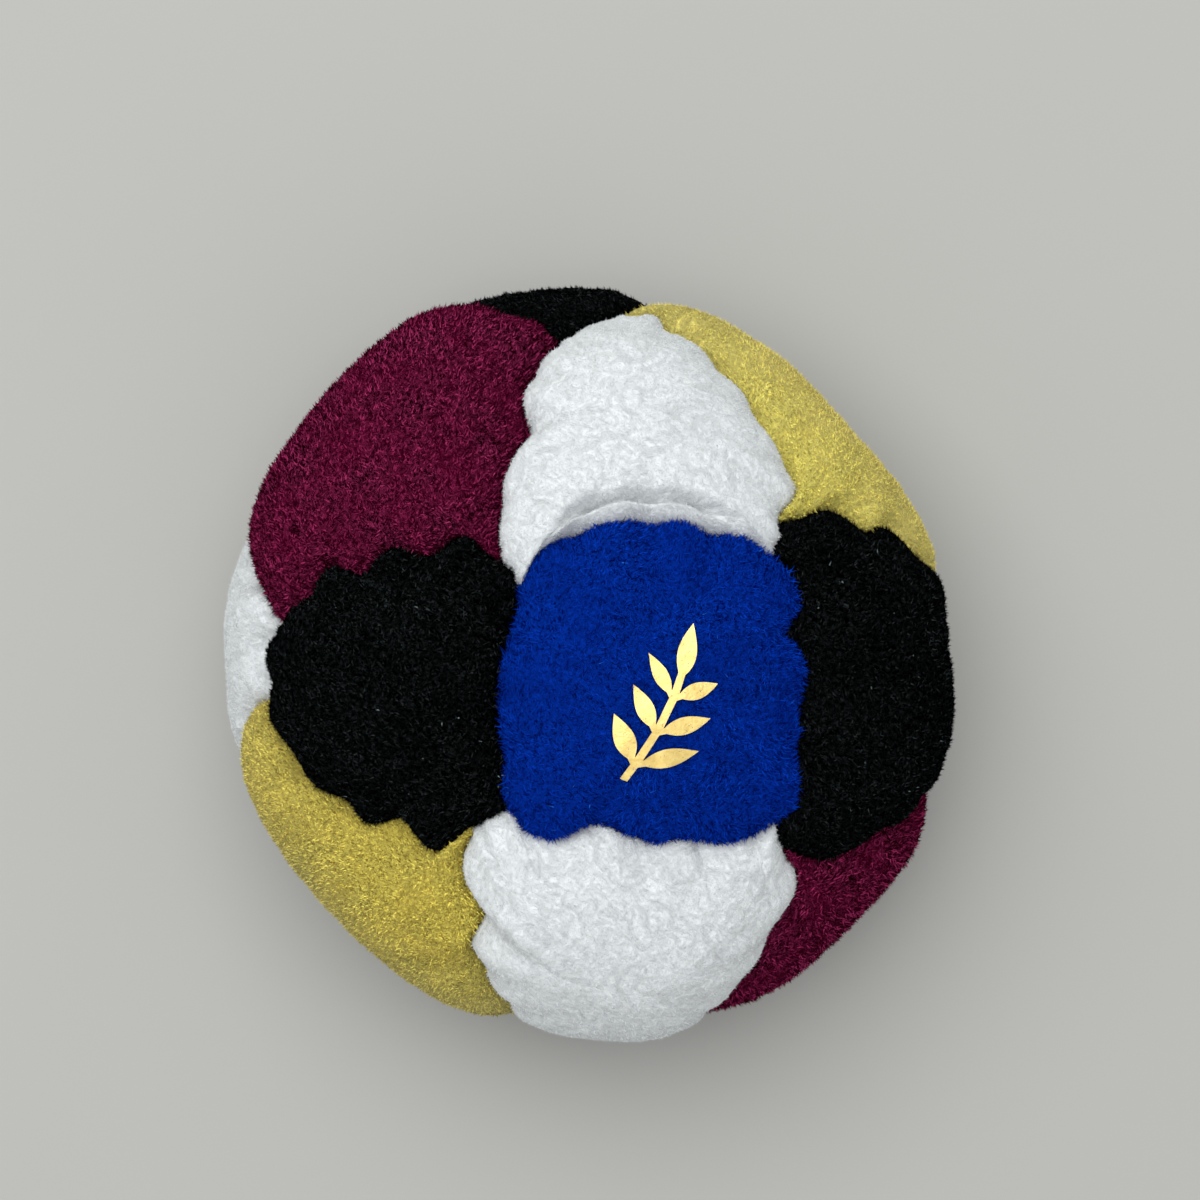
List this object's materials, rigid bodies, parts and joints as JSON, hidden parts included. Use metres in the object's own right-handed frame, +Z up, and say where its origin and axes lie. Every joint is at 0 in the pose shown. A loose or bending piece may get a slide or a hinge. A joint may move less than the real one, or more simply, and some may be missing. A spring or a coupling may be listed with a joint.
{
  "type": "footbag",
  "caption": "Small round kicking bag of sewn suede panels round a loose granular fill, settled low on a flat surface.",
  "frame": {"origin": "middle of the foot of the bag's bounding box, on the surface that it rests on", "axes": "+Z up through the blue panel that carries the foil; +Y towards the front white panel between the magenta and yellow ones; +X towards the front black panel on the right"},
  "size_m": [0.0584, 0.0606, 0.0335],
  "materials": {
    "blue_suede": "short brushed nap, dull",
    "white_suede": "short brushed nap, dull",
    "black_suede": "short brushed nap, dull",
    "magenta_suede": "short brushed nap, dull",
    "yellow_suede": "short brushed nap, dull",
    "sewing_thread": "waxed, twisted",
    "plastic_pellets": "grainy",
    "gold_foil": "hot-pressed foil, satin"
  },
  "bodies": {
    "root": {"foil_sprig": "gold_foil", "granular_fill": "plastic_pellets", "panel_black_back_n": "black_suede", "panel_black_back_s": "black_suede", "panel_black_front_e": "black_suede", "panel_black_front_w": "black_suede", "panel_blue_back": "blue_suede", "panel_blue_front": "blue_suede", "panel_magenta_nw": "magenta_suede", "panel_magenta_se": "magenta_suede", "panel_white_back_e": "white_suede", "panel_white_back_w": "white_suede", "panel_white_front_n": "white_suede", "panel_white_front_s": "white_suede", "panel_yellow_ne": "yellow_suede", "panel_yellow_sw": "yellow_suede", "thread_black_back_n_white_back_e": "sewing_thread", "thread_black_back_n_white_back_w": "sewing_thread", "thread_black_back_s_white_back_w": "sewing_thread", "thread_black_front_e_white_back_e": "sewing_thread", "thread_black_front_e_white_front_s": "sewing_thread", "thread_black_front_w_white_back_w": "sewing_thread", "thread_blue_back_black_back_n": "sewing_thread", "thread_blue_back_black_back_s": "sewing_thread", "thread_blue_back_white_back_e": "sewing_thread", "thread_blue_back_white_back_w": "sewing_thread", "thread_blue_front_black_front_e": "sewing_thread", "thread_blue_front_black_front_w": "sewing_thread", "thread_blue_front_white_front_n": "sewing_thread", "thread_blue_front_white_front_s": "sewing_thread", "thread_magenta_nw_black_back_n": "sewing_thread", "thread_magenta_nw_black_front_w": "sewing_thread", "thread_magenta_nw_white_back_w": "sewing_thread", "thread_magenta_nw_white_front_n": "sewing_thread", "thread_magenta_se_black_back_s": "sewing_thread", "thread_magenta_se_black_front_e": "sewing_thread", "thread_magenta_se_white_back_e": "sewing_thread", "thread_magenta_se_white_front_s": "sewing_thread", "thread_white_back_e_black_back_s": "sewing_thread", "thread_white_front_n_black_back_n": "sewing_thread", "thread_white_front_n_black_front_e": "sewing_thread", "thread_white_front_n_black_front_w": "sewing_thread", "thread_white_front_s_black_back_s": "sewing_thread", "thread_white_front_s_black_front_w": "sewing_thread", "thread_yellow_ne_black_back_n": "sewing_thread", "thread_yellow_ne_black_front_e": "sewing_thread", "thread_yellow_ne_white_back_e": "sewing_thread", "thread_yellow_ne_white_front_n": "sewing_thread", "thread_yellow_sw_black_back_s": "sewing_thread", "thread_yellow_sw_black_front_w": "sewing_thread", "thread_yellow_sw_white_back_w": "sewing_thread", "thread_yellow_sw_white_front_s": "sewing_thread"}
  },
  "joints": []
}
